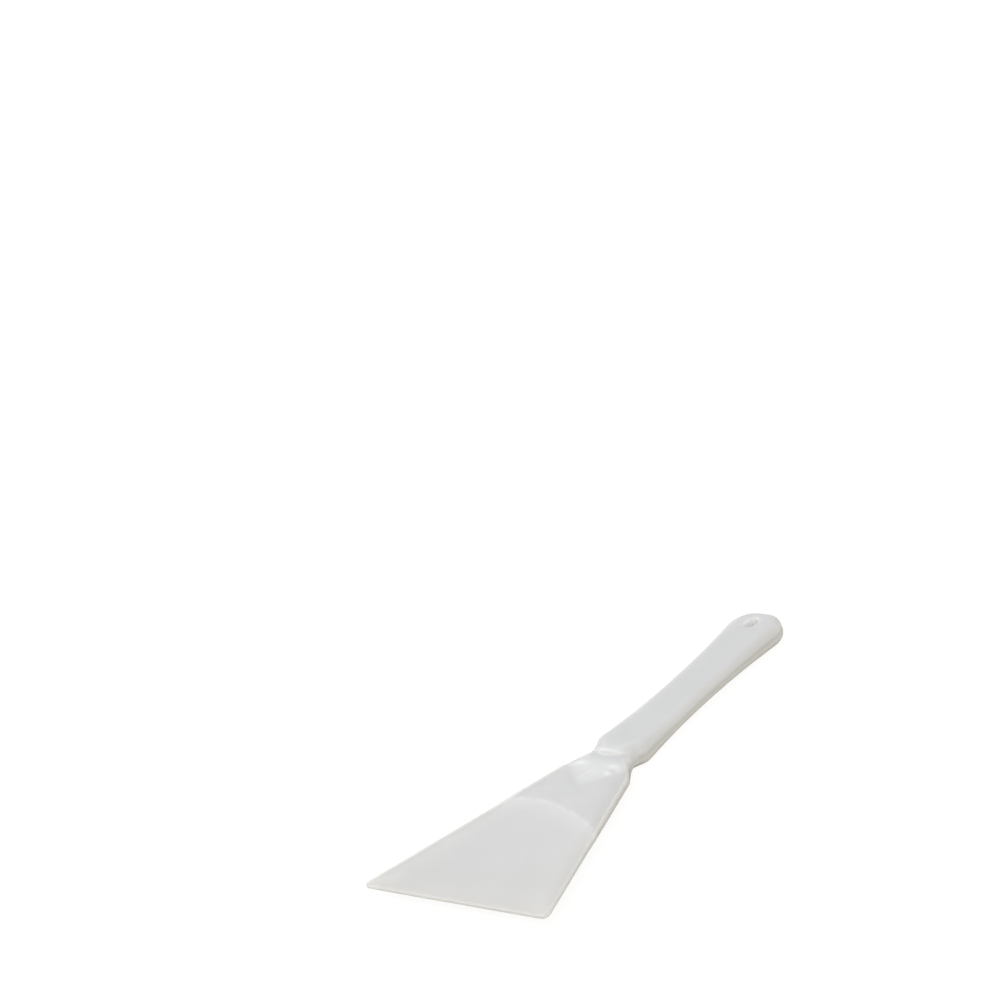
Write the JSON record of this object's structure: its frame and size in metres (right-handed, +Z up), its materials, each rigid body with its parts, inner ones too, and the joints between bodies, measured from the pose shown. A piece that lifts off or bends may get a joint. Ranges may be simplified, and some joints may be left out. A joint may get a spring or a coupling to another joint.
{
  "type": "cell scraper",
  "caption": "Hand scraper moulded in one piece of milky plastic: a wide blade that thins to its front edge, a short neck and a rounded grip with a hanging hole.",
  "frame": {"origin": "centre of the overall outline, at the height of the lowest point of the grip's heel", "axes": "+Y from the front edge to the head of the grip, +X across the blade, +Z up through the thickness"},
  "size_m": [0.11, 0.2224, 0.0115],
  "materials": {
    "milky_plastic": "semi-gloss, milky and slightly see-through, as natural polypropylene"
  },
  "bodies": {
    "root": {"scraper": "milky_plastic"}
  },
  "joints": []
}
